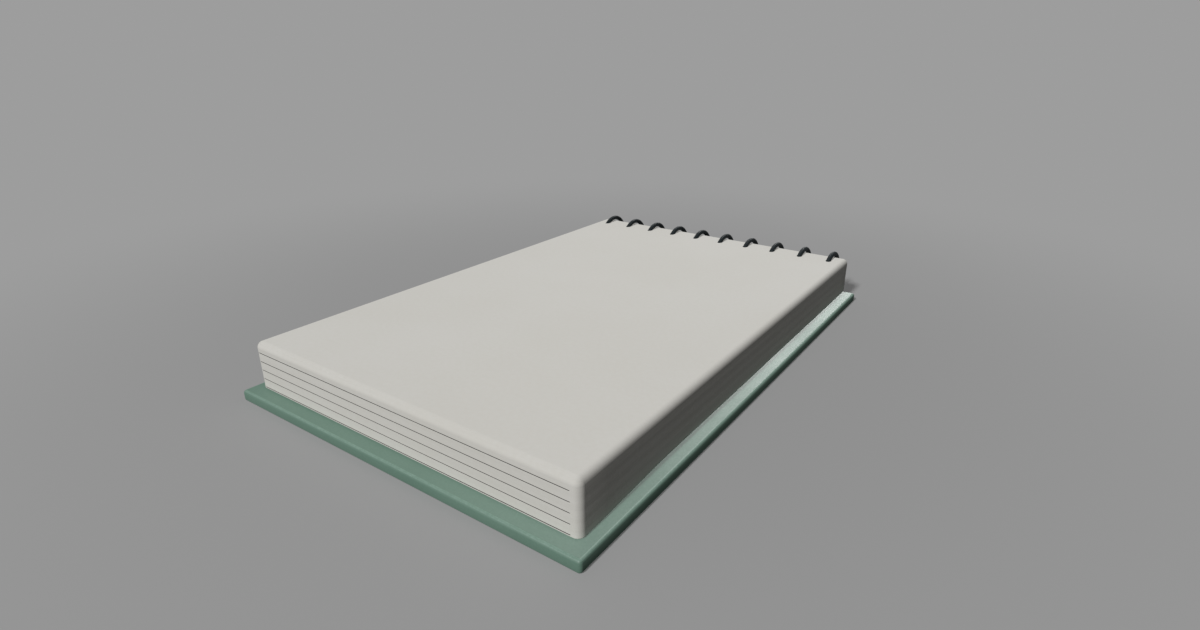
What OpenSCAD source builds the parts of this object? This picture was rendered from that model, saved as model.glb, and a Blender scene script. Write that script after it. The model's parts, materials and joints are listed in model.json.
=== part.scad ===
// Spiral notebook: a thick block of pages on a slightly larger back board, bound along one short
// edge by a single round wire. Millimetres, +Z up, with the bound edge towards +Y.
// The origin is on the underside of the board, at the middle of the overall outline.

/* [Pages] */
// Width of the pages, along the bound edge
page_w = 127; // [90:1:220]
// Length of the pages, from the bound edge to the free edge
page_l = 195.3; // [120:0.1:300]
// Thickness of all the pages together
page_h = 15.9; // [9:0.1:24]
// Radius of the softened edges and corners of the pages
page_round = 1.5; // [0.8:0.1:2.5]

/* [Gaps between sheets] */
// Distance from one visible gap to the next
gap_pitch = 2.98; // [1.5:0.01:6]
// Height of the lowest gap above the bottom page
gap_first = 0.45; // [0.4:0.05:2]
// Height of one gap
gap_h = 0.3; // [0.15:0.05:0.8]
// Depth of a gap, from the free edge of the pages
gap_depth = 0.9; // [0.7:0.1:3]
// Distance from the end of a gap to the side of the pages
gap_inset = 2.6; // [1:0.1:10]

/* [Back board] */
// Thickness of the board
board_t = 3.8; // [3.4:0.1:6]
// How far the board stands out at each side of the pages
side_margin = 3.75; // [1:0.05:12]
// How far the board stands out at the free edge of the pages
front_margin = 4.9; // [1:0.1:12]
// How far the board stands out at the bound edge of the pages
rear_margin = 3.6; // [2.5:0.1:5]
// Radius of the board's edges and corners
board_round = 1; // [0.4:0.1:1.5]

/* [Spiral wire] */
// Diameter of the wire
wire_d = 2; // [1.6:0.1:2.4]
// Distance from one loop to the next
loop_pitch = 12.7; // [10:0.1:18]
// Least distance from an end loop to the side of the pages
loop_side_min = 6; // [4:0.5:12]
// Gap between the top page and the inside of a loop
loop_gap = 0.55; // [0.35:0.05:1]
// How far the wire stays above the underside of the board
wire_recess = 0.2; // [0.1:0.05:0.4]

/* [Clearances] */
// Gap between the bottom page and the board
page_gap = 0.3; // [0.25:0.05:0.6]
// Clearance round the wire in the holes of the pages
hole_gap = 0.3; // [0.2:0.05:0.6]
// Clearance round the wire in the slots of the board
slot_gap = 0.4; // [0.3:0.05:0.6]
// Least clearance of the turning pages from the board and the loops
swing_gap = 0.15; // [0.1:0.01:0.2]

/* [Hidden] */

// Facets of a rounded edge, all the way round
round_fn = 32;
// Sides of the wire where it steps sideways, and rings along one step
wire_sides = 12;
step_rings = 20;
// Places of the disc that wipes out a slot
disc_places = 120;
// Each end of a step runs on inside the loop that it joins by this angle, and is this much thinner
lap_angle = 3;
lap_thin = 0.02;
// A cutter runs this far past the face that it opens
past = 1;

wire_r = wire_d / 2;
page_bottom = board_t + page_gap;
page_top = page_bottom + page_h;

// The loops are circles about one axis along X, which the pages also turn about. It lies at the
// middle of their thickness, so turned right over they come down with the same gap to the board.
ring_r = page_h / 2 + loop_gap + wire_r;
ring_z = page_bottom + page_h / 2;

// The axis lies as far inside the back of the pages as their rounded back edges let it: turning
// with the pages, they have to pass inside the loops and above the board
edge_high = page_h / 2 - page_round;
reach_loop = ring_r - wire_r - swing_gap - page_round;
reach_board = ring_z - board_t - swing_gap - page_round;
edge_back = sqrt(min(reach_loop, reach_board) ^ 2 - edge_high ^ 2);
ring_inset = page_round + edge_back;

// Places along Y
loop_overhang = ring_r + wire_r - ring_inset;
overall_l = front_margin + page_l + max(rear_margin, loop_overhang);
board_front = -overall_l / 2;
page_front = board_front + front_margin;
page_back = page_front + page_l;
board_back = page_back + rear_margin;
ring_y = page_back - ring_inset;

// Places along X
board_w = page_w + 2 * side_margin;
loops = floor((page_w - 2 * loop_side_min) / loop_pitch) + 1;
first_x = -(loops - 1) * loop_pitch / 2;

// Number of gaps that fit below the rounded top edge
gaps = floor((page_h - page_round - gap_first) / gap_pitch) + 1;

// Angles round a loop are measured from +Y, over the top. Each loop is flat from step_to, up behind
// the pages, over them and down through them to step_from, level with the bottom page. From there
// the wire steps to the next loop, and dips on the way so that some board is left over it.
step_from = 180 + asin(page_h / 2 / ring_r);
step_to = 540 - step_from;
step_rad = (step_to - step_from) * PI / 180;
flat_sweep = step_from - (step_to - 360);
step_dip = ring_z - wire_recess - wire_r - ring_r;

// Share of a step that is done at angle a. By it, the distance from the axis and the place along X,
// easing in and out, and the rates of both in mm per radian
function step_share(a) = max(0, min(1, (a - step_from) / (step_to - step_from)));
function step_r(a) = ring_r + step_dip * (1 - cos(360 * step_share(a))) / 2;
function step_x(a, pitch) = pitch * (1 - cos(180 * step_share(a))) / 2;
function rate_r(a) = step_dip * PI * sin(360 * step_share(a)) / step_rad;
function rate_x(a, pitch) = pitch * PI / 2 * sin(180 * step_share(a)) / step_rad;

// Points of the wire's round section at angle a, square to the run of the wire. The directions run,
// out and side are given along X, away from the axis and round it.
function wire_section(a, pitch) =
    let (
        run = [rate_x(a, pitch), rate_r(a), step_r(a)],
        out = [0, 1, 0] - run * run.y / (run * run),
        side = cross(out, run)
    )
    [
        for (k = [0 : wire_sides - 1])
            let (
                turn = 360 * k / wire_sides,
                reach = cos(turn) * out / norm(out) + sin(turn) * side / norm(side),
                point = (wire_r - lap_thin) * reach + [step_x(a, pitch), step_r(a), 0]
            )
            [
                point.x,
                point.y * cos(a) - point.z * sin(a),
                point.y * sin(a) + point.z * cos(a)
            ]
    ];

function loop_x(i) = first_x + i * loop_pitch;

// Angle round a loop at ring n along the step, which starts and ends inside the loops
function step_angle(n) =
    step_from - lap_angle + (step_to - step_from + 2 * lap_angle) * n / step_rings;

// A slot is what a disc of radius half_w wipes out as it follows a step of the wire in plan. At place
// y along it, this is how far the disc reaches to the right (side = 1) or to the left (side = -1).
function slot_reach(y, half_w, side) = max([
    for (n = [0 : disc_places])
        let (
            a = step_angle(n * step_rings / disc_places),
            off = y - step_r(a) * cos(a)
        )
        if (abs(off) < half_w)
            side * step_x(a, loop_pitch) + sqrt(half_w ^ 2 - off ^ 2)
]);

// Outline in plan of one side of a slot
function slot_side(half_w, side) = [
    for (n = [0 : step_rings])
        let (
            a = step_angle(n),
            y = step_r(a) * cos(a)
        )
        [side * slot_reach(y, half_w, side), y]
];

// Section, seen along X, of what is left of the board over a step of the wire
function bridge_section() = [
    for (n = [0 : step_rings])
        let (a = step_angle(n))
        (step_r(a) - wire_r - slot_gap) * [cos(a), sin(a)]
];

// A ball with points exactly at its poles and on its equator
module ball(r) {
    rotate_extrude($fn = round_fn)
        intersection() {
            circle(r = r, $fn = round_fn);
            translate([0, -r])
                square([r, 2 * r]);
        }
}

// A box with all its edges and corners rounded, centred on X, from y0 to y1 and z0 to z1
module soft_box(w, y0, y1, z0, z1, r) {
    hull()
        for (x = [-w / 2 + r, w / 2 - r], y = [y0 + r, y1 - r], z = [z0 + r, z1 - r])
            translate([x, y, z])
                ball(r);
}

// Turns what is drawn in the XY plane about Z into a loop about the axis of the rings
module on_ring_axis(x = 0) {
    translate([x, ring_y, ring_z])
        rotate([90, 0, 90])
            children();
}

// A round bar bent along a loop, from angle a0 over a sweep
module bent_bar(r, a0, sweep) {
    rotate([0, 0, a0])
        rotate_extrude(angle = sweep, $fn = 96)
            translate([ring_r, 0])
                circle(r = r, $fn = 48);
}

// The stretch of wire inside the board that moves along X by pitch, from ring first to ring last
module wire_step(pitch, first = 0, last = step_rings) {
    points = [for (n = [first : last]) each wire_section(step_angle(n), pitch)];
    first_end = [for (k = [wire_sides - 1 : -1 : 0]) k];
    last_end = [for (k = [0 : wire_sides - 1]) (last - first) * wire_sides + k];
    walls = [
        for (n = [0 : last - first - 1], k = [0 : wire_sides - 1])
            let (
                next = (k + 1) % wire_sides,
                low = n * wire_sides,
                high = low + wire_sides
            )
            each [[low + k, low + next, high + k], [low + next, high + next, high + k]]
    ];
    translate([0, ring_y, ring_z])
        polyhedron(points = points, faces = concat([first_end, last_end], walls));
}

// Plan of all the slots. The front end of a slot is a hole, and its back end opens the board's edge.
module slot_plan() {
    half_w = wire_r + slot_gap;
    hole_reach = sqrt((ring_r + wire_r + slot_gap) ^ 2 - (ring_z - board_t) ^ 2);
    open_y = board_back + past - ring_y;
    left = slot_side(half_w, -1);
    right = slot_side(half_w, 1);
    translate([0, ring_y]) {
        for (i = [0 : loops - 2])
            translate([loop_x(i), 0])
                polygon(concat(
                    [[-half_w, -hole_reach]],
                    left,
                    [[loop_pitch - half_w, open_y], [loop_pitch + half_w, open_y]],
                    [for (n = [step_rings : -1 : 0]) right[n]],
                    [[half_w, -hole_reach]]
                ));
        translate([loop_x(0) - half_w, -slot_gap])
            square([2 * half_w, open_y + slot_gap]);
        translate([loop_x(loops - 1) - half_w, -hole_reach])
            square([2 * half_w, hole_reach + slot_gap]);
    }
}

// The board, with a slot for each step of the wire. A bridge over the middle of each slot holds it.
module back_board() {
    color([0.42, 0.52, 0.46])
        difference() {
            soft_box(board_w, board_front, board_back, 0, board_t, board_round);
            difference() {
                translate([0, 0, -past])
                    linear_extrude(board_t + 2 * past)
                        slot_plan();
                on_ring_axis()
                    linear_extrude(2 * board_w, center = true)
                        polygon(bridge_section());
            }
        }
}

// All the pages as one block, with a curved hole for each loop and the gaps at the free edge
module page_block() {
    color([0.78, 0.78, 0.75])
        difference() {
            soft_box(page_w, page_front, page_back, page_bottom, page_top, page_round);
            for (i = [0 : loops - 1])
                on_ring_axis(loop_x(i))
                    bent_bar(wire_r + hole_gap, 0, 360);
            for (g = [0 : gaps - 1])
                translate([
                    -page_w / 2 + gap_inset,
                    page_front - past,
                    page_bottom + gap_first + g * gap_pitch - gap_h / 2
                ])
                    cube([page_w - 2 * gap_inset, past + gap_depth, gap_h]);
        }
}

// One wire: flat loops over the pages, joined by slanted steps inside the board. Its two free ends
// are cut off inside the board, halfway along a step that doesn't move sideways.
module spiral_wire() {
    middle_ring = step_rings / 2;
    color([0.14, 0.16, 0.17]) {
        for (i = [0 : loops - 1])
            on_ring_axis(loop_x(i))
                bent_bar(wire_r, step_to - 360, flat_sweep);
        for (i = [0 : loops - 2])
            translate([loop_x(i), 0, 0])
                wire_step(loop_pitch);
        translate([loop_x(0), 0, 0])
            wire_step(0, first = middle_ring);
        translate([loop_x(loops - 1), 0, 0])
            wire_step(0, last = middle_ring);
    }
}

back_board();
page_block();
spiral_wire();
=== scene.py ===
# %% [markdown]
# # A spiral notebook
# A thick block of pale pages lies on a green board that is a little larger all round. One dark wire
# binds both along a short edge. The solids come packed, at their real size, and this script gives
# each of them the surface and the finish that the eye expects: paper, coated board, painted wire.

# %% Load the frame
import json
import math

import bpy
import numpy as np
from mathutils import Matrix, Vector


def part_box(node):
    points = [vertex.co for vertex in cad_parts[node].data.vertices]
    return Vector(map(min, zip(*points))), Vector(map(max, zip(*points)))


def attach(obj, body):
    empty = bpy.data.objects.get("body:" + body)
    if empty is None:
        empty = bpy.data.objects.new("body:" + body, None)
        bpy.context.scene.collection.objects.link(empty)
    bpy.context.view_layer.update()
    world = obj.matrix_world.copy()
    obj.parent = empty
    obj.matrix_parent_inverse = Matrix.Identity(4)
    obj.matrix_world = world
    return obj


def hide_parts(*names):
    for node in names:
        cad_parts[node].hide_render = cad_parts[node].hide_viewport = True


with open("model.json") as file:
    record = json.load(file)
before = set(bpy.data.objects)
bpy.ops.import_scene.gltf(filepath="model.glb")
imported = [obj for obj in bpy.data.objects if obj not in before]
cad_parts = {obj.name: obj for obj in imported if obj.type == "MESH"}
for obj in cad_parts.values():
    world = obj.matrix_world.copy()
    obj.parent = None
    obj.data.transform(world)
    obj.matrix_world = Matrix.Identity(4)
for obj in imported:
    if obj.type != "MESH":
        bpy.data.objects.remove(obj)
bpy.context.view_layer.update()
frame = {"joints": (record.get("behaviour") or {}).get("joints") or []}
MM = 0.001
FULL_TURN = 2 * math.pi

# %% [markdown]
# ## Sizes
# The outline of each piece is read from its imported solid, so the surfaces made here always fit. Only
# what a box can't tell is named: the radius of an edge, the gauge of the wire, the gaps. Two
# of these differ from the solids on purpose. The pages' edges are rounder here, by 0.6 mm, as their
# shading in the photograph asks for. The holes lie closer round the wire, since a wider hole shows a
# dark ring where the wire goes in.

# %% Sizes of the pages, the board and the wire, in metres
page_low, page_high = (np.array(corner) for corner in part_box("page_block"))
board_low, board_high = (np.array(corner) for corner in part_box("back_board"))
wire_low, wire_high = (np.array(corner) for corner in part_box("spiral_wire"))
hinge = frame["joints"][0]
axis_y, axis_z = hinge["pos_m"][1], hinge["pos_m"][2]

PAGE_ROUND = 2.1 * MM
BOARD_ROUND = 1.0 * MM
WIRE_R = 1.0 * MM
WIRE_RECESS = 0.2 * MM
HOLE_GAP = 0.12 * MM
SLOT_GAP = 0.4 * MM
LOOP_PITCH = 12.7 * MM
ring_r = wire_high[2] - axis_z - WIRE_R
loops = round((wire_high[0] - wire_low[0] - 2 * WIRE_R) / LOOP_PITCH) + 1
first_x = -(loops - 1) * LOOP_PITCH / 2
print(f"pages {np.round((page_high - page_low) / MM, 1)} mm, {loops} loops of radius {ring_r / MM:.2f} mm")

# %% [markdown]
# ## The camera
# The photograph looks down at the free corner of the pages from about 22 degrees above the level, with
# a wide lens. A wide lens close to a thing makes its near corner loom and its far edge shrink, so the
# distance has to be right as well as the angle. The place below is measured from the near left corner
# of the pages' underside, and the lens from the spread of the edges.

# %% Camera at the photograph's place
CAMERA_FROM_CORNER = np.array((199.5, -95.7, 102.8)) * MM
CAMERA_AZIMUTH = math.radians(35.037)
CAMERA_ELEVATION = math.radians(22.016)
FOCAL_PX, FRAME_PX, SENSOR_MM = 675.52, 1200, 36

camera = bpy.data.objects.new("camera", bpy.data.cameras.new("camera"))
bpy.context.collection.objects.link(camera)
bpy.context.scene.camera = camera
camera.data.sensor_width = SENSOR_MM
camera.data.lens = SENSOR_MM * FOCAL_PX / FRAME_PX
camera.data.clip_start = 1 * MM
camera.location = page_low + CAMERA_FROM_CORNER
camera.rotation_euler = (math.pi / 2 - CAMERA_ELEVATION, 0, CAMERA_AZIMUTH)
print(f"lens {camera.data.lens:.2f} mm, camera at {[round(c, 3) for c in camera.location]}")

# %% [markdown]
# ## Surfaces as grids
# Every piece here is a sheet of points laid out in rows and columns, where the columns run round the
# piece and close on themselves. One function joins such a grid with four-sided faces, and another
# turns the result into a mesh. Whole arrays go in, so no loop visits the points one by one.

# %% Helpers that turn grids into meshes
SMOOTH_ANGLE = 40
LEVEL = 0.99999


def tube_faces(rows, columns, close_rows=False):
    """Faces of a grid whose columns wrap round: each joins a point to its neighbours to the right and
    one row on. With close_rows the last row also joins the first, as on a ring."""
    row = np.arange(rows if close_rows else rows - 1)[:, None]
    column = np.arange(columns)[None, :]
    here, ahead = row * columns, (row + 1) % rows * columns
    beside = (column + 1) % columns
    corners = (here + column, here + beside, ahead + beside, ahead + column)
    return np.stack(corners, axis=-1).reshape(-1, 4)


def shade(mesh, smooth_angle):
    """Faces that meet at less than smooth_angle degrees shade as one curved surface. Level faces, whose
    normal is upright to more than LEVEL, stay flat: the tilt of a rounded edge would otherwise spread
    over them from rim to rim."""
    mesh.shade_smooth()
    mesh.set_sharp_from_angle(angle=math.radians(smooth_angle))
    normals = np.empty(len(mesh.polygons) * 3)
    mesh.polygons.foreach_get("normal", normals)
    mesh.polygons.foreach_set("use_smooth", np.abs(normals[2::3]) < LEVEL)


def make_piece(name, points, faces, smooth_angle=SMOOTH_ANGLE):
    """A mesh object at the origin, from points in metres and lists of point numbers."""
    mesh = bpy.data.meshes.new(name)
    mesh.from_pydata(np.asarray(points).reshape(-1, 3).tolist(), [], faces)
    mesh.validate()
    mesh.update()
    shade(mesh, smooth_angle)
    piece = bpy.data.objects.new(name, mesh)
    bpy.context.collection.objects.link(piece)
    return piece


def carve(piece, cutter):
    """Takes the cutter's space out of the piece, for good, and deletes the cutter."""
    cut = piece.modifiers.new("carve", "BOOLEAN")
    cut.operation, cut.solver, cut.object = "DIFFERENCE", "EXACT", cutter
    bpy.context.view_layer.update()
    done = bpy.data.meshes.new_from_object(piece.evaluated_get(bpy.context.evaluated_depsgraph_get()))
    piece.modifiers.clear()
    piece.data = done
    shade(done, SMOOTH_ANGLE)
    bpy.data.objects.remove(cutter)


# %% [markdown]
# ## A slab with soft edges
# Both the pages and the board are slabs whose edges and corners are rounded by one radius. Think of a
# smaller box with sharp corners, and a ball that rolls over it: the slab is everything that the ball
# touches. So each point is a place on the small box plus the ball's radius along an outward direction.
# Going round the slab, the place moves along a side while the direction stands still, and at a corner
# the place stands still while the direction turns.

# %% Outline of a slab
def slab_outline(low, high, radius, side_steps, corner_steps=8):
    """Places on the inner rectangle and outward directions, once round from the front left corner.
    A side holds its direction and spreads its places by side_steps, values from 0 to 1, one array per
    side. A corner holds its place and turns its direction through a right angle, in equal steps."""
    corners = np.array(
        [
            (low[0] + radius, low[1] + radius),
            (high[0] - radius, low[1] + radius),
            (high[0] - radius, high[1] - radius),
            (low[0] + radius, high[1] - radius),
        ]
    )
    places, angles = [], []
    for side in range(4):
        start, end = corners[side], corners[(side + 1) % 4]
        facing = -math.pi / 2 + side * math.pi / 2
        along = np.asarray(side_steps[side])[:, None]
        places.append(start + (end - start) * along)
        angles.append(np.full(len(along), facing))
        turn = np.linspace(0, math.pi / 2, corner_steps + 2)[1:-1]
        places.append(np.repeat(end[None, :], corner_steps, axis=0))
        angles.append(facing + turn)
    angle = np.concatenate(angles)
    return np.concatenate(places), np.stack((np.cos(angle), np.sin(angle)), axis=1)


# %% Surface of a slab
def edge_reach(past_wall, radius, edge_radius):
    """How far the surface reaches out from the inner rectangle, by how far it is past the straight
    wall: the radius, less the edge's own radius, plus the root of that one squared less the distance
    past the wall squared."""
    return radius - edge_radius + np.sqrt(np.maximum(0, edge_radius**2 - np.maximum(0, past_wall) ** 2))


def slab_points(places, outward, low_z, high_z, radius, heights, relief=0.0, lower_edge=None):
    """One row of points per height, from the underside to the top. The upper edge has the slab's own
    radius, and the lower edge too, unless each column is given one of its own. Relief is taken off."""
    tall = heights[:, None]
    lower = np.full(len(places), radius) if lower_edge is None else lower_edge
    over = edge_reach(tall - (high_z - radius), radius, radius)
    under = edge_reach(low_z + lower[None, :] - tall, radius, lower[None, :])
    out = np.minimum(over, under) - relief
    flat = places[None, :, :] + outward[None, :, :] * out[:, :, None]
    tall = np.repeat(heights[:, None], len(places), axis=1)
    return np.concatenate((flat, tall[:, :, None]), axis=2)


def close_slab(name, grid):
    """The slab as a piece: its wall as a grid, with one flat face over the first and the last row."""
    rows, columns = grid.shape[:2]
    faces = tube_faces(rows, columns).tolist()
    faces.append(list(range(columns))[::-1])
    faces.append(list(range((rows - 1) * columns, rows * columns)))
    return make_piece(name, grid, faces)


def edge_heights(low_z, radius, steps):
    """Heights over a rounded lower edge, closer together where it turns into the flat underside."""
    turn = np.linspace(0, math.pi / 2, steps + 1)[:-1]
    return low_z + radius * (1 - np.cos(turn))


# %% [markdown]
# ## The pages
# Seen close, the edge of a pad isn't smooth. Each sheet ends a hair further in or out than the next,
# and where the glue or the cutter has parted two bundles of sheets, a dark gap shows. The sheets are
# real relief here: one row of points on each sheet and one in each seam. The five gaps are deep folds
# of the same grid, so the whole block stays a single closed surface. The lowest gap lies only half a
# millimetre above the underside, where a round edge would hide it, so the front lower edge is nearly
# sharp and gets as round as the others further back.

# %% Heights and columns of the page grid
SHEET = 0.1 * MM
GAP_PITCH = 2.98 * MM
GAP_FIRST = 0.5 * MM
GAP_H = 0.3 * MM
GAP_DEPTH = 0.9 * MM
GAP_INSET = 2.9 * MM
GAP_TAPER = 0.5 * MM
GAPS = 5
sheet_count = round((page_high[2] - page_low[2]) / SHEET)
gap_heights = page_low[2] + GAP_FIRST + GAP_PITCH * np.arange(GAPS)

# Two rows a sheet, and closer ones at bottom and top, where the edge curves hardest.
CURVED = 0.25 * MM
curved_rows = round(CURVED / SHEET * 2)
turned_in = edge_heights(page_low[2], PAGE_ROUND, 16)
turned_in = turned_in[turned_in < page_low[2] + CURVED]
straight = page_low[2] + np.arange(curved_rows, 2 * sheet_count - curved_rows + 1) * SHEET / 2
page_heights = np.concatenate((turned_in, straight, (page_low[2] + page_high[2] - turned_in)[::-1]))

# Columns crowd at both ends of the free edge, so that the gaps end cleanly between them.
near_ends = np.array([0, 0.004, 0.008, 0.012, 0.016, 0.02, 0.026, 0.034, 0.05])
front_steps = np.concatenate((near_ends, np.linspace(0.08, 0.92, 32), 1 - near_ends[::-1]))
side_steps = [front_steps, np.linspace(0, 1, 24), np.linspace(0, 1, 16), np.linspace(0, 1, 24)]
places, outward = slab_outline(page_low, page_high, PAGE_ROUND, side_steps)
print(f"{sheet_count} sheets, {len(page_heights)} rows by {len(places)} columns")

# %% Relief of the sheets' edges
SEAM_DEPTH = 0.010 * MM
SHEET_SHIFT = 0.012 * MM
BUNDLE_SHIFT = 0.02 * MM
GAP_LOST, GAP_FADE = 0.85, 0.1
ROW_SLACK = SHEET / 100
FOOT_ROUND = 0.25 * MM
FOOT_OVER = 40 * MM
random = np.random.default_rng(7)

# How fast the slow wave turns, in radians a metre: up the pile, and along X and Y.
BUNDLE_RATE = 1.9 / MM
DRIFT = (23, 31)


def sheet_relief(heights, places):
    """How far each point lies in from the true wall: a seam on every other row, plus each sheet's own
    shift, plus a slow wave through the pile that drifts along the edge. A seam is a cosine with one
    crest a sheet, and the wave a sine of the height plus the drift."""
    sheet = (heights - page_low[2]) / SHEET
    seam = SEAM_DEPTH * (0.5 + 0.5 * np.cos(FULL_TURN * sheet))
    own = random.uniform(0, SHEET_SHIFT, sheet_count + 2)[np.clip(sheet.astype(int), 0, sheet_count)]
    drift = places[:, 0] * DRIFT[0] + places[:, 1] * DRIFT[1]
    wave = 0.5 + 0.5 * np.sin(heights[:, None] * BUNDLE_RATE + drift[None, :])
    return (seam + own)[:, None] + BUNDLE_SHIFT * wave


def gap_relief(heights, places, outward):
    """The five gaps on the free edge. Up the edge each is a narrow band round the gap's height. At its
    right end it tapers to nothing over its last stretch. At its left end it runs onto the corner and
    tapers as the wall turns away, until the wall's share of facing front is down to GAP_LOST."""
    from_right = page_high[0] - places[:, 0] - GAP_INSET
    facing_front = np.clip((-outward[:, 1] - GAP_LOST) / GAP_FADE, 0, 1)
    along = np.clip(from_right / GAP_TAPER, 0, 1) * facing_front
    offset = np.abs(heights[:, None] - gap_heights[None, :]).min(axis=1)
    band = offset < GAP_H / 2 + ROW_SLACK
    return GAP_DEPTH * band[:, None] * along[None, :]


# The sheets' relief fades out over the rounded edges. The gaps keep their full depth there.
below_top = np.clip((page_high[2] - page_heights) / PAGE_ROUND, 0, 1)
above_foot = np.clip((page_heights - page_low[2]) / PAGE_ROUND, 0, 1)
relief = sheet_relief(page_heights, places) * (below_top * above_foot)[:, None]
relief += gap_relief(page_heights, places, outward)

# The lower edge's radius grows from front to back along a smooth step, 3 s squared less 2 s cubed.
inner_low, inner_high = page_low[:2] + PAGE_ROUND, page_high[:2] - PAGE_ROUND
from_front = np.clip((places[:, 1] - inner_low[1]) / FOOT_OVER, 0, 1)
lower_edge = FOOT_ROUND + (PAGE_ROUND - FOOT_ROUND) * from_front**2 * (3 - 2 * from_front)
print(f"deepest relief {relief.max() / MM:.2f} mm, sheets within {relief[:, -1].max() / MM:.3f} mm")

# %% The page block
page_grid = slab_points(
    places, outward, page_low[2], page_high[2], PAGE_ROUND, page_heights, relief, lower_edge
)
pages = close_slab("pages", page_grid)

# %% [markdown]
# ## The holes for the wire
# The wire's loops are circles, and the pages turn about the circles' centre. A hole that follows the
# same circle lets the block swing without touching the wire, so each hole is a bent one: a ring with a
# section a little wider than the wire, taken out of the block.

# %% Cut a curved hole for each loop
def rings(name, tube_r, around=96, sides=20):
    """All the rings as one mesh. A point is the ring's centre plus its radius at one angle, plus the
    tube's radius at a second angle, which leans between outward and sideways."""
    turn = np.linspace(0, FULL_TURN, around, endpoint=False)[:, None]
    lean = np.linspace(0, FULL_TURN, sides, endpoint=False)[None, :]
    out = ring_r + tube_r * np.cos(lean)
    side = np.broadcast_to(tube_r * np.sin(lean), (around, sides))
    one = np.stack((side, axis_y + out * np.cos(turn), axis_z + out * np.sin(turn)), axis=-1)
    starts = first_x + LOOP_PITCH * np.arange(loops)
    points = one[None] + starts[:, None, None, None] * np.array((1.0, 0, 0))
    faces = tube_faces(around, sides, close_rows=True)[:, ::-1]
    step = around * sides * np.arange(loops)[:, None, None]
    return make_piece(name, points, (faces[None] + step).reshape(-1, 4).tolist())


carve(pages, rings("hole_cutter", WIRE_R + HOLE_GAP))
print(f"{len(pages.data.polygons)} faces on the pages with their holes")

# %% Mark how deep each point lies in a gap, for the painted shade there
def depth_in_gaps(points):
    """How far each point lies in from the slab's own surface, over the depth of a gap, where it is in a
    gap's band of height on the free edge, and 0 elsewhere. Far in is the reach of the surface less the
    distance from the inner rectangle."""
    flat, z = points[:, :2], points[:, 2]
    reach = edge_reach(page_low[2] + FOOT_ROUND - z, PAGE_ROUND, FOOT_ROUND)
    far_in = reach - np.linalg.norm(flat - np.clip(flat, inner_low, inner_high), axis=1)
    offset = np.abs(z[:, None] - gap_heights[None, :]).min(axis=1)
    in_band = (flat[:, 1] < inner_low[1]) & (offset < GAP_H / 2 + SHEET)
    return np.clip(far_in / GAP_DEPTH, 0, 1) * in_band


page_points = np.empty(len(pages.data.vertices) * 3)
pages.data.vertices.foreach_get("co", page_points)
gap_depths = depth_in_gaps(page_points.reshape(-1, 3))
pages.data.attributes.new("gap_depth", "FLOAT", "POINT").data.foreach_set("value", gap_depths)
print(f"{(gap_depths > 0.5).sum()} points lie deep in a gap")

# %% The pages stand for their solid
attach(pages, "pages")
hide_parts("page_block")

# %% [markdown]
# ## The wire
# One length of wire makes the whole binding. Over the pages it stands in flat loops, square to the
# edge. Inside the board it steps sideways to the next loop, and dips a little so that some board is
# left over it. As a formula, the angle round the axis grows steadily from one end of the wire to the
# other. The place along the edge is a staircase, which holds still over the pages and eases up by one
# pitch in each step. The distance from the axis holds still as well, and swells once in each step.

# %% Path of the wire
step_from = math.pi + math.asin((axis_z - page_low[2]) / ring_r)
step_span = 3 * math.pi - 2 * step_from
step_dip = axis_z - board_low[2] - WIRE_RECESS - WIRE_R - ring_r
END_BEVEL = 0.25 * MM
BEVEL_STEPS = np.array((0.3, 0.7, 1.0))


def wire_path(angle):
    """Place along X, distance from the axis, and the rates of both per radian, at angles that count on
    through the loops. Sideways, each step is half a cosine wave from 0 to 1. Outwards it is a whole
    wave, up and back, which the two free ends share although they don't move sideways."""
    starts = step_from + FULL_TURN * np.arange(-1, loops)
    share = np.clip((angle[:, None] - starts[None, :]) / step_span, 0, 1)
    half_wave = math.pi * share[:, 1:-1]
    along = first_x + LOOP_PITCH * (0.5 - 0.5 * np.cos(half_wave)).sum(axis=1)
    along_rate = LOOP_PITCH * np.sin(half_wave).sum(axis=1) * math.pi / 2 / step_span
    radius = ring_r + step_dip * (0.5 - 0.5 * np.cos(FULL_TURN * share)).sum(axis=1)
    radius_rate = step_dip * np.sin(FULL_TURN * share).sum(axis=1) * math.pi / step_span
    return along, radius, along_rate, radius_rate


print(f"each step takes {math.degrees(step_span):.1f} degrees and dips {step_dip / MM:.2f} mm")


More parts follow.
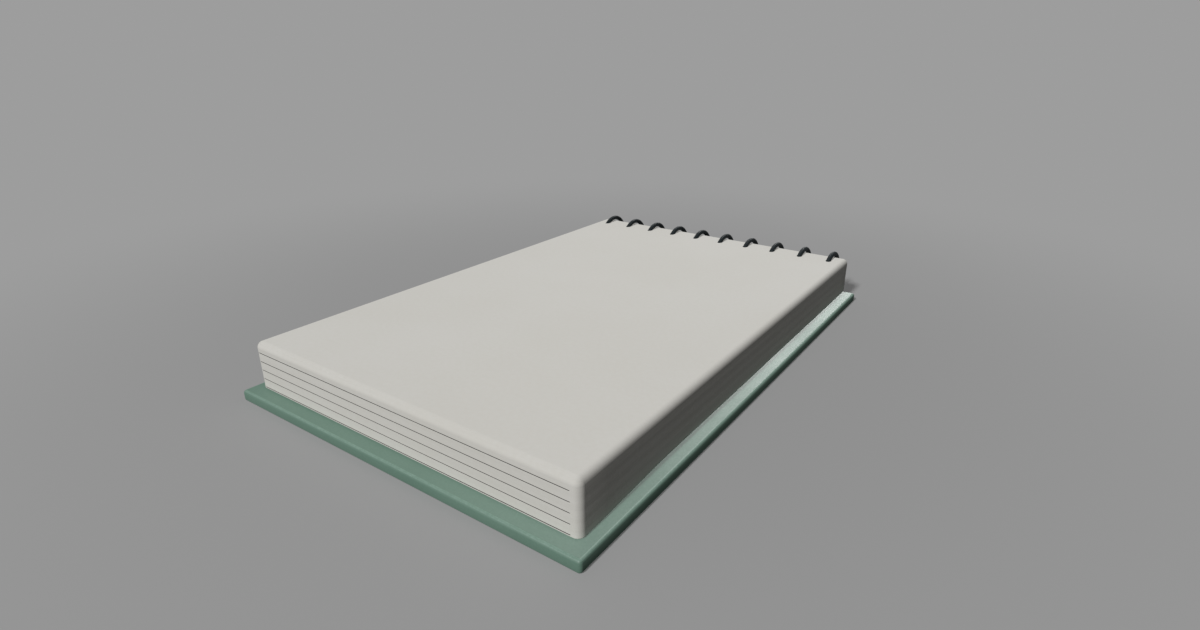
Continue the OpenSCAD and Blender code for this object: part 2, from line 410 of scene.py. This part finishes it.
# %% Surface of the wire
def wire_grid(rings_per_loop=120, sides=24):
    """A round section carried along the path, square to its run. Run, out and side are three directions
    given along X, away from the axis and round it: out is the way from the axis less its share along
    the run, and side is square to both. At each end the last rings close in, as a cutter leaves it."""
    tuck = END_BEVEL / ring_r
    start, end = -math.pi / 2 + tuck, FULL_TURN * (loops - 1) + 1.5 * math.pi - tuck
    angle = np.linspace(start, end, rings_per_loop * loops)
    whole = np.zeros(len(angle))
    angle = np.concatenate((start - tuck * BEVEL_STEPS[::-1], angle, end + tuck * BEVEL_STEPS))
    shrink = 1 - np.sqrt(1 - BEVEL_STEPS**2)
    thin = END_BEVEL * np.concatenate((shrink[::-1], whole, shrink))
    along, radius, along_rate, radius_rate = wire_path(angle)
    run = np.stack((along_rate, radius_rate, radius), axis=1)
    run /= np.linalg.norm(run, axis=1)[:, None]
    out = np.array((0.0, 1.0, 0.0)) - run * run[:, 1:2]
    out /= np.linalg.norm(out, axis=1)[:, None]
    side = np.cross(out, run)
    turn = np.linspace(0, FULL_TURN, sides, endpoint=False)[None, :, None]
    reach = (WIRE_R - thin)[:, None, None]
    point = reach * (np.cos(turn) * out[:, None, :] + np.sin(turn) * side[:, None, :])
    away = radius[:, None] + point[..., 1]
    cos, sin = np.cos(angle)[:, None], np.sin(angle)[:, None]
    x = along[:, None] + point[..., 0]
    y = axis_y + away * cos - point[..., 2] * sin
    z = axis_z + away * sin + point[..., 2] * cos
    return np.stack((x, y, z), axis=-1)


grid = wire_grid()
rows, columns = grid.shape[:2]
faces = tube_faces(rows, columns)[:, ::-1].tolist()
faces.append(list(range(columns)))
faces.append(list(range((rows - 1) * columns, rows * columns))[::-1])
wire = make_piece("wire", grid, faces, smooth_angle=60)
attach(wire, "bound_board")
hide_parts("spiral_wire")
print(f"wire of {len(wire.data.polygons)} faces")

# %% [markdown]
# ## The board
# The board is the same kind of slab as the pages, without relief. It has a slot for each step of the
# wire. Seen from above, a slot is the wire's own path, made wider. Seen from the side, the cut stops
# where the wire dips, which leaves a thin bridge of board over the middle of each step.

# %% The board's slab
even = np.linspace(0, 1, 6)
edge = edge_heights(board_low[2], BOARD_ROUND, 8)
board_heights = np.concatenate((edge, (board_low[2] + board_high[2] - edge)[::-1]))
board_places, board_outward = slab_outline(board_low, board_high, BOARD_ROUND, [even] * 4, 7)
board_grid = slab_points(
    board_places, board_outward, board_low[2], board_high[2], BOARD_ROUND, board_heights
)
board = close_slab("board", board_grid)


# %% Slots for the steps of the wire
LAP = math.radians(3)
DISC_PLACES = 240
BAR_PLACES = 40
PAST_EDGE = 2 * MM
slot_reach = ring_r + WIRE_R + SLOT_GAP
slot_front = -math.sqrt(slot_reach**2 - (axis_z - board_high[2]) ** 2)
slot_back = board_high[1] - axis_y + PAST_EDGE
half_slot = WIRE_R + SLOT_GAP


def slot_outline(rows=32):
    """Plan of one slot, as places along X from its front end and along Y from the axis. It is what a
    disc, wider than the wire, wipes out as it follows the step. On each side, a row of the outline lies
    at the furthest place that any of the discs reaches there: the disc's middle, plus the root of its
    radius squared less (how far the row is from the disc's middle) squared."""
    angle = step_from + np.linspace(-LAP, step_span + LAP, DISC_PLACES)
    along, radius = wire_path(angle)[:2]
    middle_x, middle_y = along - first_x, radius * np.cos(angle)
    row = middle_y[np.linspace(0, DISC_PLACES - 1, rows).astype(int)]
    chord = np.sqrt(np.maximum(0, half_slot**2 - (row[:, None] - middle_y[None, :]) ** 2))
    wiped = chord > 0
    right = np.where(wiped, middle_x + chord, -1).max(axis=1)
    left = np.where(wiped, middle_x - chord, 1).min(axis=1)
    along_y = np.r_[slot_front, row, slot_back]
    right_side = np.column_stack((np.r_[half_slot, right, LOOP_PITCH + half_slot], along_y))
    left_side = np.column_stack((np.r_[-half_slot, left, LOOP_PITCH - half_slot], along_y))
    return np.concatenate((right_side, left_side[::-1]))


def prism(outline, low, high, turned=False):
    """A closed outline drawn out between two heights, as points and faces. Turned, the outline lies
    across X and is drawn out along it."""
    n = len(outline)
    ends = [np.column_stack((outline, np.full(n, level))) for level in (low, high)]
    points = np.concatenate(ends)
    if turned:
        points = points[:, (2, 0, 1)]
    faces = tube_faces(2, n).tolist() + [list(range(n))[::-1], list(range(n, 2 * n))]
    return points, faces


# %% Cut the slots one by one, each less its bridge
def cut_slot(outline):
    """Takes one slot out of the board. The slot is a prism of its outline, less a bar whose section is
    all that lies further inside the loop than the wire and its clearance: that part of the board stays."""
    slot = make_piece("slot_cutter", *prism(outline, board_low[2] - MM, board_high[2] + MM))
    angle = step_from + np.linspace(-LAP, step_span + LAP, BAR_PLACES)
    inner = wire_path(angle)[1] - WIRE_R - SLOT_GAP
    section = np.column_stack((axis_y + inner * np.cos(angle), axis_z + inner * np.sin(angle)))
    carve(slot, make_piece("bridge_bar", *prism(section, board_low[0], board_high[0], turned=True)))
    carve(board, slot)


one_slot = slot_outline() + (first_x, axis_y)
for i in range(loops - 1):
    cut_slot(one_slot + (LOOP_PITCH * i, 0))

# The two free ends of the wire lie straight under their loops, each in a short slot of its own.
last_x = first_x + LOOP_PITCH * (loops - 1)
for x, y0, y1 in ((first_x, -SLOT_GAP, slot_back), (last_x, slot_front, SLOT_GAP)):
    ends = [(x - half_slot, y0), (x + half_slot, y0), (x + half_slot, y1), (x - half_slot, y1)]
    cut_slot(np.array(ends) + (0, axis_y))
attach(board, "bound_board")
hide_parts("back_board")
print(f"{len(board.data.polygons)} faces on the board with its slots")

# %% [markdown]
# ## Finishes
# Nothing real is one flat colour. Paper, coated board and paint all wander a little in colour over
# centimetres and have a fine grain that breaks up the light. Both effects are built once, as node
# groups with named inputs, and each material places them with its own scale and strength. A few small
# helpers come first, so that a material reads as a list of steps.

# %% Helpers for node trees
def give(tree, socket, value):
    """Gives a socket its value: the output of another node, or else a plain number or colour."""
    if isinstance(value, bpy.types.NodeSocket):
        tree.links.new(value, socket)
    else:
        socket.default_value = value


def calculate(tree, operation, *values):
    """The result of a Math node on some values."""
    node = tree.nodes.new("ShaderNodeMath")
    node.operation = operation
    for socket, value in zip(node.inputs, values):
        give(tree, socket, value)
    return node.outputs[0]


def remap(tree, value, from_range, to_range=(0, 1), smooth=False):
    """A value moved from one range to another and held at its ends, if smooth with a soft start and
    end."""
    node = tree.nodes.new("ShaderNodeMapRange")
    if smooth:
        node.interpolation_type = "SMOOTHSTEP"
    node.inputs["From Min"].default_value, node.inputs["From Max"].default_value = from_range
    node.inputs["To Min"].default_value, node.inputs["To Max"].default_value = to_range
    tree.links.new(value, node.inputs["Value"])
    return node.outputs["Result"]


def mix_by(tree, factor, color_a, color_b):
    """Color A where the factor is 0, color B where it is 1."""
    mix = tree.nodes.new("ShaderNodeMix")
    mix.data_type = "RGBA"
    tree.links.new(factor, mix.inputs["Factor"])
    give(tree, mix.inputs["A"], color_a)
    give(tree, mix.inputs["B"], color_b)
    return mix.outputs["Result"]


def own_place(tree):
    """The object's own coordinates, in metres."""
    return tree.nodes.new("ShaderNodeTexCoord").outputs["Object"]


def stretched_place(tree, factors):
    """The object's own coordinates, each times a factor of its own."""
    node = tree.nodes.new("ShaderNodeVectorMath")
    node.operation = "MULTIPLY"
    tree.links.new(own_place(tree), node.inputs[0])
    give(tree, node.inputs[1], factors)
    return node.outputs[0]


def noise(tree, place, scale, detail=2):
    """Soft noise at a place, as a value around 0.5."""
    node = tree.nodes.new("ShaderNodeTexNoise")
    node.inputs["Detail"].default_value = detail
    tree.links.new(place, node.inputs["Vector"])
    give(tree, node.inputs["Scale"], scale)
    return node.outputs["Fac"]


# %% A group that wanders between two colours
def new_group(name, inputs, outputs):
    """An empty node group with named inputs (kind and default) and outputs (kind)."""
    group = bpy.data.node_groups.new(name, "ShaderNodeTree")
    for label, (kind, value) in inputs.items():
        socket = group.interface.new_socket(label, in_out="INPUT", socket_type=kind)
        socket.default_value = value
    for label, kind in outputs.items():
        group.interface.new_socket(label, in_out="OUTPUT", socket_type=kind)
    entry, result = group.nodes.new("NodeGroupInput"), group.nodes.new("NodeGroupOutput")
    return group, entry.outputs, result.inputs


def mottle_group():
    """Mixes two colours by soft noise over the object's own coordinates: broad clouds, with a finer
    noise added so that their borders don't show."""
    group, given, result = new_group(
        "mottle",
        {
            "Color A": ("NodeSocketColor", (0.5, 0.5, 0.5, 1)),
            "Color B": ("NodeSocketColor", (0.4, 0.4, 0.4, 1)),
            "Scale": ("NodeSocketFloat", 40.0),
            "Fine Scale": ("NodeSocketFloat", 900.0),
        },
        {"Color": "NodeSocketColor", "Mask": "NodeSocketFloat"},
    )
    place = own_place(group)
    broad = noise(group, place, given["Scale"])
    fine = noise(group, place, given["Fine Scale"], detail=3)
    mask = remap(group, calculate(group, "ADD", broad, fine), (0.75, 1.25))
    color = mix_by(group, mask, given["Color A"], given["Color B"])
    group.links.new(color, result["Color"])
    group.links.new(mask, result["Mask"])
    return group


MOTTLE = mottle_group()
print("group", MOTTLE.name, [item.name for item in MOTTLE.interface.items_tree])

# %% A group for fine grain
def grain_group():
    """Height of a fine grain: noise at one scale plus half as much at four times that scale, with a
    stretch that can draw it out into fibres along X."""
    group, given, result = new_group(
        "grain",
        {
            "Scale": ("NodeSocketFloat", 2000.0),
            "Stretch": ("NodeSocketVector", (1.0, 1.0, 1.0)),
        },
        {"Height": "NodeSocketFloat"},
    )
    place = stretched_place(group, given["Stretch"])
    coarse = noise(group, place, given["Scale"])
    fine = noise(group, place, calculate(group, "MULTIPLY", given["Scale"], 4))
    group.links.new(calculate(group, "MULTIPLY_ADD", fine, 0.5, coarse), result["Height"])
    return group


GRAIN = grain_group()
print("group", GRAIN.name, [item.name for item in GRAIN.interface.items_tree])

# %% Helpers for a material
def new_material(name, **constants):
    """A material with one Principled shader, whose plain numbers are set on the shader itself. Returns
    the material, its node tree and the shader."""
    material = bpy.data.materials.new(name)
    material.use_nodes = True
    shader = material.node_tree.nodes["Principled BSDF"]
    for label, value in constants.items():
        shader.inputs[label.replace("_", " ")].default_value = value
    return material, material.node_tree, shader


def place_group(tree, group, **values):
    """Puts a node group into a material, sets its inputs by name and returns its outputs."""
    node = tree.nodes.new("ShaderNodeGroup")
    node.node_tree = group
    for label, value in values.items():
        node.inputs[label.replace("_", " ")].default_value = value
    return node.outputs


def facing_level(tree, normal):
    """1 on a level face and 0 on an upright one: the size of the upright share of the normal, either
    the face's own (True Normal) or the one that it is shaded with (Normal)."""
    shares = tree.nodes.new("ShaderNodeSeparateXYZ")
    tree.links.new(tree.nodes.new("ShaderNodeNewGeometry").outputs[normal], shares.inputs[0])
    return calculate(tree, "ABSOLUTE", shares.outputs["Z"])


def bump_into(tree, shader, height, distance):
    """Feeds a height through a Bump node into the shader's normal. Distance is in metres."""
    bump = tree.nodes.new("ShaderNodeBump")
    bump.inputs["Strength"].default_value = 1
    bump.inputs["Distance"].default_value = distance
    tree.links.new(height, bump.inputs["Height"])
    tree.links.new(bump.outputs["Normal"], shader.inputs["Normal"])


def paint(piece, material):
    """Gives a piece its one material."""
    piece.data.materials.clear()
    piece.data.materials.append(material)


# %% [markdown]
# ## Paper
# The top page is uncoated paper: nearly white, faintly warm in soft clouds, with short fibres that only
# show as a tooth. On the sides the cut sheets lie on each other, so thin streaks run along the block,
# some a touch darker where a sheet lies further in. A mask from the surface's own direction keeps the
# streaks off the top. Deep in a gap no light comes back, so the marked points there get painted shade.

# %% Paper material
PAPER = (0.558, 0.548, 0.516, 1)
PAPER_WARM = (0.543, 0.531, 0.494, 1)
EDGE_TONE = (0.50, 0.48, 0.43, 1)
GAP_PAINTED_SHADE = (0.022, 0.021, 0.019, 1)
STREAK_SCALE = (14, 14, 4200)
STREAK_SHARE = 0.2
FIBRE_STRETCH = (0.6, 1.0, 1.0)


def paper_material():
    """Mottled paper with streaks on its upright faces, and painted shade deep in the gaps. A streak is
    noise that changes fast up the pile and slowly along it."""
    material, tree, shader = new_material("paper", Roughness=0.86, Specular_IOR_Level=0.3)
    mottle = place_group(tree, MOTTLE, Color_A=PAPER, Color_B=PAPER_WARM, Scale=28, Fine_Scale=700)
    streaks = noise(tree, stretched_place(tree, STREAK_SCALE), 1, detail=4)
    strength = remap(tree, streaks, (0.45, 0.75), (0, STREAK_SHARE))
    on_side = remap(tree, facing_level(tree, "True Normal"), (0.9, 0.3), smooth=True)
    shown = calculate(tree, "MULTIPLY", strength, on_side)
    streaked = mix_by(tree, shown, mottle["Color"], EDGE_TONE)
    # Painted shade: points marked deep in a gap are mixed towards near black, standing in for the shade
    # there.
    gap = tree.nodes.new("ShaderNodeAttribute")
    gap.attribute_name = "gap_depth"
    gap_painted_shade = remap(tree, gap.outputs["Fac"], (0.08, 0.22), smooth=True)
    color = mix_by(tree, gap_painted_shade, streaked, GAP_PAINTED_SHADE)
    tree.links.new(color, shader.inputs["Base Color"])
    grain = place_group(tree, GRAIN, Scale=2600, Stretch=FIBRE_STRETCH)
    bump_into(tree, shader, grain["Height"], 0.012 * MM)
    return material


paint(pages, paper_material())

# %% [markdown]
# ## Coated board
# The board is grey board wrapped in green coated paper. Its coating is smooth enough to catch a pale
# sheen where the eye skims along it. The rounded edges are painted a little lighter: partly wear, where
# the thin coating has rubbed, and partly a painted highlight, where a rounded edge catches the light.
# That pale share is worked out from the tilt of the surface, which lies between level and upright only
# on a rounded edge, and broken up by the grain. The upright sides are duller than the face, so that
# they mirror less of the floor.

# %% Board material
BOARD_GREEN = (0.114, 0.193, 0.150, 1)
BOARD_DEEP = (0.102, 0.178, 0.137, 1)
BOARD_RUBBED_AND_HIGHLIGHT = (0.175, 0.270, 0.220, 1)
EDGE_TILT, EDGE_TILT_SPAN = 0.82, 0.17


def board_material():
    """Mottled green, paler where an edge curves, as rubbed wear and as a painted highlight. The roughness
    wanders with the mottle and grows towards the upright sides."""
    material, tree, shader = new_material("coated_board", Specular_IOR_Level=0.5)
    mottle = place_group(
        tree, MOTTLE, Color_A=BOARD_GREEN, Color_B=BOARD_DEEP, Scale=35, Fine_Scale=1500
    )
    grain = place_group(tree, GRAIN, Scale=1500)
    tilt = facing_level(tree, "Normal")
    # Wear and painted highlight: where the surface tilts as on a rounded edge, the green is mixed towards
    # a paler one.
    on_edge = calculate(tree, "COMPARE", tilt, EDGE_TILT, EDGE_TILT_SPAN)
    wear_and_highlight_spread = remap(tree, grain["Height"], (0.55, 0.95), (0.4, 1.0))
    rubbed_and_highlight = calculate(tree, "MULTIPLY", on_edge, wear_and_highlight_spread)
    color = mix_by(tree, rubbed_and_highlight, mottle["Color"], BOARD_RUBBED_AND_HIGHLIGHT)
    tree.links.new(color, shader.inputs["Base Color"])
    coat = remap(tree, mottle["Mask"], (0, 1), (0.49, 0.54))
    dull = remap(tree, tilt, (0.6, 0.1), (0, 0.5))
    tree.links.new(calculate(tree, "ADD", coat, dull), shader.inputs["Roughness"])
    bump_into(tree, shader, grain["Height"], 0.01 * MM)
    return material


paint(board, board_material())

# %% [markdown]
# ## Painted wire
# The wire is steel under a blue-black coat. The coat is so dark that its colour hardly shows, and it
# mirrors little, so a loop reads by a weak, soft light along its crown. A faint orange peel keeps that
# from looking ruled.

# %% Wire material
WIRE_PAINT = (0.0115, 0.0160, 0.0178, 1)
WIRE_PAINT_WORN = (0.0155, 0.0205, 0.0225, 1)


def wire_material():
    """Nearly black paint, whose colour and roughness wander together."""
    material, tree, shader = new_material("wire_paint", Specular_IOR_Level=0.12)
    mottle = place_group(
        tree, MOTTLE, Color_A=WIRE_PAINT, Color_B=WIRE_PAINT_WORN, Scale=120, Fine_Scale=2500
    )
    tree.links.new(mottle["Color"], shader.inputs["Base Color"])
    tree.links.new(remap(tree, mottle["Mask"], (0, 1), (0.56, 0.66)), shader.inputs["Roughness"])
    grain = place_group(tree, GRAIN, Scale=1400)
    bump_into(tree, shader, grain["Height"], 0.004 * MM)
    return material


paint(wire, wire_material())

# %% [markdown]
# ## Three lamps
# The free edge of the pages is nearly as bright as the top, the right side is in deep shade, and the
# strip of board beside it is fully lit. So the main light comes from the front and from neither side,
# and the block's shadow falls behind it. Two weaker lamps stand behind. The high one lights the top but
# not the front, so that the edge between them doesn't shine brighter than both. The low one is there
# for the coated board: seen at a flat angle, its right edge mirrors something bright and gets a pale
# sheen towards the far end. Both cast no shadow, or the pages would keep them off the strips beside
# them. Lamps and sky together give a level surface about the brightness of its own colour, so each
# colour above can be read as it is written.

# %% Lamps
SKY_DIM = 0.09


def sun_lamp(name, azimuth, height, strength, disc, shadow=True):
    """A sun at an azimuth, clockwise from +Y, and a height over the horizon, with the width of its disc,
    all in degrees. Returns what it adds to a level surface: its strength times the sine of its height,
    over pi."""
    lamp = bpy.data.objects.new(name, bpy.data.lights.new(name, "SUN"))
    lamp.data.energy, lamp.data.angle, lamp.data.use_shadow = strength, math.radians(disc), shadow
    turn, rise = math.radians(azimuth), math.radians(height)
    seen_at = Vector((math.sin(turn), math.cos(turn), math.tan(rise)))
    lamp.rotation_euler = seen_at.to_track_quat("Z", "Y").to_euler()
    bpy.context.collection.objects.link(lamp)
    return strength * math.sin(rise) / math.pi


level_light = SKY_DIM
level_light += sun_lamp("front_sun", azimuth=178.6, height=34, strength=3.03, disc=7)
level_light += sun_lamp("high_sun", azimuth=-17, height=42, strength=1.26, disc=10, shadow=False)
level_light += sun_lamp("sheen_sun", azimuth=-17, height=23, strength=0.65, disc=4, shadow=False)
print(f"a level surface shows {level_light:.2f} of its own colour")

# %% [markdown]
# ## Floor and sky
# A plain floor, a little paler in the distance, runs out to a sky of the same grey, so it has no
# visible end. What a surface shows and how it lights others can be told apart by the Light Path node:
# for rays that go from the object in search of light, floor and sky are darker, which keeps the shaded
# sides as deep as a studio does.

# %% Floor
FLOOR_HALF = 30.0
FLOOR_NEAR, FLOOR_FAR = 0.281, 0.345
PALER_OVER = (0.05, 0.35)
FLOOR_DIM = 0.08


def grey(value):
    """A colour with the same value in red, green and blue."""
    return (value, value, value, 1)


def seen_directly(tree):
    """A value of 1 where the camera, a mirror or glass looks at the surface, and 0 for the light that
    it throws on its surroundings: the largest of the three Light Path answers."""
    path = tree.nodes.new("ShaderNodeLightPath")
    answer = path.outputs["Is Camera Ray"]
    for other in ("Is Glossy Ray", "Is Transmission Ray"):
        answer = calculate(tree, "MAXIMUM", answer, path.outputs[other])
    return answer


def floor_paint():
    """Plain grey that is paler far from the object, and dim for the light it throws back."""
    material, tree, shader = new_material("floor_paint", Roughness=0.9, Specular_IOR_Level=0.0)
    away = tree.nodes.new("ShaderNodeVectorMath")
    away.operation = "LENGTH"
    tree.links.new(own_place(tree), away.inputs[0])
    far = remap(tree, away.outputs["Value"], PALER_OVER, smooth=True)
    shown = mix_by(tree, far, grey(FLOOR_NEAR), grey(FLOOR_FAR))
    color = mix_by(tree, seen_directly(tree), grey(FLOOR_DIM), shown)
    tree.links.new(color, shader.inputs["Base Color"])
    return material


floor_corners = np.array([(-1, -1, 0), (1, -1, 0), (1, 1, 0), (-1, 1, 0)]) * FLOOR_HALF
floor = make_piece("floor", floor_corners, [[0, 1, 2, 3]])
paint(floor, floor_paint())

# %% Sky
sky = bpy.data.worlds.new("studio")
bpy.context.scene.world = sky
sky.use_nodes = True
sky_seen = FLOOR_FAR * level_light
color = mix_by(sky.node_tree, seen_directly(sky.node_tree), grey(SKY_DIM), grey(sky_seen))
sky.node_tree.links.new(color, sky.node_tree.nodes["Background"].inputs["Color"])
bpy.context.scene.view_settings.view_transform = "Standard"
print(f"sky and far floor both show as {sky_seen:.3f}")
